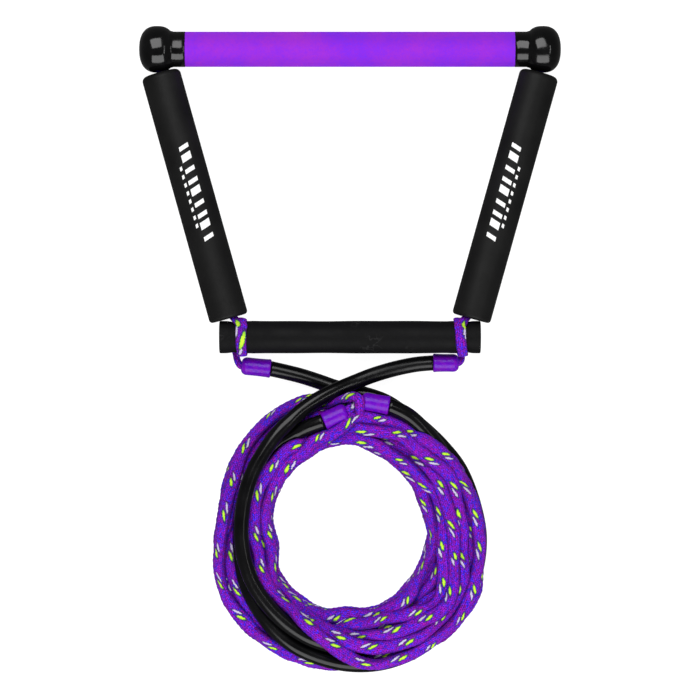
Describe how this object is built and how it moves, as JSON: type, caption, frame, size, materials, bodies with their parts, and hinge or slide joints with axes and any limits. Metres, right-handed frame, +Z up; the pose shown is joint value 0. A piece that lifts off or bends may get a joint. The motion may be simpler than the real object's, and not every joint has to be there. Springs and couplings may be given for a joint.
{
  "type": "tow rope handle",
  "caption": "Water-sports tow handle: ball-ended grip bar on a floating rope bridle with a spreader bar, sleeved in tube and joined to a coiled braided mainline.",
  "frame": {"origin": "middle of the handle frame in plan, on the surface it lies on", "axes": "+X along the handle bar, +Y from the line towards the bar, +Z up off the surface"},
  "size_m": [0.331, 0.5088, 0.0452],
  "materials": {
    "suede_grip": "matte suede",
    "grip_rubber": "matte",
    "bar_metal": "satin",
    "cap_plastic": "gloss",
    "float_foam": "matte foam",
    "spreader_skin": "matte",
    "plug_plastic": "matte",
    "sleeve_tube": "gloss",
    "shrink_collar": "satin",
    "braid_rope": "braided polyethylene"
  },
  "bodies": {
    "line": {"left_tie_rope": "braid_rope", "right_tie_rope": "braid_rope", "left_lower_collar": "shrink_collar", "right_lower_collar": "shrink_collar", "left_tube": "sleeve_tube", "right_tube": "sleeve_tube", "left_upper_collar": "shrink_collar", "right_upper_collar": "shrink_collar", "bridle_loop": "braid_rope", "mainline_loop": "braid_rope", "mainline_coil": "braid_rope", "boat_loop": "braid_rope"},
    "legs": {"left_leg_rope": "braid_rope", "right_leg_rope": "braid_rope"},
    "spreader": {"spreader_tube": "bar_metal", "spreader_sleeve": "spreader_skin", "spreader_left_plug": "plug_plastic", "spreader_right_plug": "plug_plastic"},
    "float_left": {"left_float": "float_foam"},
    "float_right": {"right_float": "float_foam"},
    "handle": {"bar_tube": "bar_metal", "grip_underlay": "grip_rubber", "grip_wrap": "suede_grip", "left_end_cap": "cap_plastic", "right_end_cap": "cap_plastic", "bar_rope": "braid_rope"}
  },
  "joints": [
    {"name": "bridle_fold", "type": "hinge", "parent": "line", "child": "legs", "pos_m": [0, -0.11395, 0.0183], "axis": [1, 0, 0], "range_deg": [0, 120]},
    {"name": "spreader_turn", "type": "hinge", "parent": "legs", "child": "spreader", "pos_m": [0, -0.11395, 0.0183], "axis": [1, 0, 0], "continuous": true},
    {"name": "float_left_turn", "type": "hinge", "parent": "legs", "child": "float_left", "pos_m": [-0.091, -0.11395, 0.0155], "axis": [-0.2693, 0.9631, 0], "continuous": true},
    {"name": "float_right_turn", "type": "hinge", "parent": "legs", "child": "float_right", "pos_m": [0.091, -0.11395, 0.0155], "axis": [0.2693, 0.9631, 0], "continuous": true},
    {"name": "handle_turn", "type": "hinge", "parent": "legs", "child": "handle", "pos_m": [0, 0.11205, 0.0183], "axis": [1, 0, 0], "range_deg": [-60, 60]}
  ]
}
